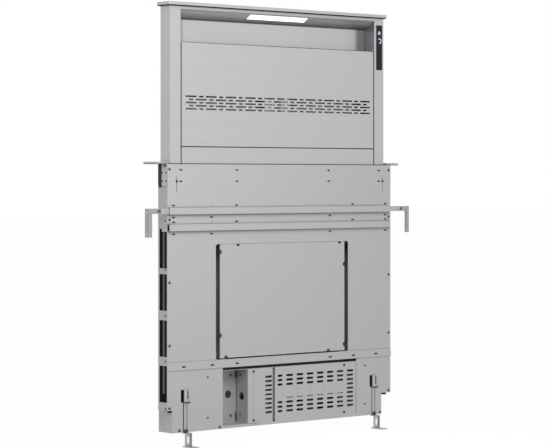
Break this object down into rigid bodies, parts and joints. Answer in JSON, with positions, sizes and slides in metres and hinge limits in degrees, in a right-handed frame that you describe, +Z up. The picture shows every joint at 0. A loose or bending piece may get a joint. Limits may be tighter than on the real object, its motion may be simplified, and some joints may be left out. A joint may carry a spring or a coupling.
{
  "type": "downdraft vent",
  "caption": "Pop-up downdraft vent: a stainless chimney with a front intake, filter door and touch control rises out of a slim housing with lift, electronics bay, side arms and feet.",
  "frame": {"origin": "on the worktop plane, on the chimney's centre line, at the chimney's front face", "axes": "+Z up, +X to the right of someone facing the front, +Y from the front to the back"},
  "size_m": [0.998, 0.112, 1.26],
  "materials": {
    "stainless": "brushed stainless steel",
    "housing_sheet": "satin zinc-coated sheet steel",
    "zinc_parts": "bright zinc-plated steel",
    "screws": "zinc-plated pan heads",
    "black_steel": "black, satin",
    "control_glass": "black printed glass, polished",
    "lens": "opal diffuser",
    "filter_mesh": "layered grease mesh in a frame",
    "circuit_board": "green solder mask",
    "plastic_parts": "moulded, satin",
    "rubber": "matt",
    "bronze_nut": "turned",
    "motor": "dark grey enamel"
  },
  "bodies": {
    "housing": {"access_frame": "housing_sheet", "access_plate": "housing_sheet", "back_panel": "housing_sheet", "bottom_pan": "housing_sheet", "case_ends": "housing_sheet", "divider_shelf": "housing_sheet", "ear_gaskets": "rubber", "ear_left": "stainless", "ear_right": "stainless", "electronics_tray": "housing_sheet", "front_rails": "housing_sheet", "front_screws": "screws", "front_sheet": "housing_sheet", "gearmotor": "motor", "hold_down_strips": "black_steel", "leg_guides": "zinc_parts", "limit_switches": "plastic_parts", "lower_band": "housing_sheet", "lower_front": "housing_sheet", "motor_bracket": "zinc_parts", "motor_capacitor": "plastic_parts", "power_board": "circuit_board", "side_channel_left": "housing_sheet", "side_channel_right": "housing_sheet", "side_screws": "screws", "slide_outers": "black_steel", "slide_strips": "zinc_parts", "terminal_block": "plastic_parts", "upper_apron": "housing_sheet", "vent_cover": "housing_sheet", "wiper_seals": "rubber", "wiring_cover": "housing_sheet"},
    "chimney": {"post_left": "stainless", "post_right": "stainless", "cap": "stainless", "header": "stainless", "led_lens": "lens", "led_board": "circuit_board", "back_sheet": "stainless", "lower_panel": "stainless", "door_hinge_pins": "zinc_parts", "door_catches": "zinc_parts", "filter_ledges": "zinc_parts", "grease_filters": "filter_mesh", "control_glass": "control_glass", "touch_board": "circuit_board", "crosshead": "zinc_parts", "lift_nut": "bronze_nut", "slide_inners": "zinc_parts"},
    "door": {"door_panel": "stainless"},
    "slide_left": {"slide_middle_left": "zinc_parts"},
    "slide_right": {"slide_middle_right": "zinc_parts"},
    "screw": {"lead_screw": "zinc_parts"},
    "leg_left": {"leg_left": "zinc_parts"},
    "leg_right": {"leg_right": "zinc_parts"},
    "arm_left": {"arm_tongue_left": "zinc_parts", "arm_bracket_left": "zinc_parts"},
    "arm_right": {"arm_tongue_right": "zinc_parts", "arm_bracket_right": "zinc_parts"}
  },
  "joints": [
    {"name": "chimney_lift", "type": "slide", "parent": "housing", "child": "chimney", "axis": [0, 0, 1], "range_m": [-0.448, 0]},
    {"name": "door_tilt", "type": "hinge", "parent": "chimney", "child": "door", "pos_m": [0, 0.006, 0.0575], "axis": [1, 0, 0], "range_deg": [0, 20]},
    {"name": "slide_left_run", "type": "slide", "parent": "housing", "child": "slide_left", "axis": [0, 0, 1], "range_m": [-0.224, 0]},
    {"name": "slide_right_run", "type": "slide", "parent": "housing", "child": "slide_right", "axis": [0, 0, 1], "range_m": [-0.224, 0]},
    {"name": "screw_turn", "type": "hinge", "parent": "housing", "child": "screw", "pos_m": [0, 0.022, -0.3], "axis": [0, 0, 1], "range_deg": [-16200, 0]},
    {"name": "leg_left_slide", "type": "slide", "parent": "housing", "child": "leg_left", "axis": [0, 0, -1], "range_m": [0, 0.06]},
    {"name": "leg_right_slide", "type": "slide", "parent": "housing", "child": "leg_right", "axis": [0, 0, -1], "range_m": [0, 0.06]},
    {"name": "arm_left_slide", "type": "slide", "parent": "housing", "child": "arm_left", "axis": [-1, 0, 0], "range_m": [-0.02, 0.06]},
    {"name": "arm_right_slide", "type": "slide", "parent": "housing", "child": "arm_right", "axis": [1, 0, 0], "range_m": [-0.02, 0.06]}
  ],
  "couplings": [
    {"joint": "slide_left_run", "follows": "chimney_lift", "ratio": 0.5},
    {"joint": "slide_right_run", "follows": "chimney_lift", "ratio": 0.5},
    {"joint": "screw_turn", "follows": "chimney_lift", "rad_per_m": 628.32}
  ]
}
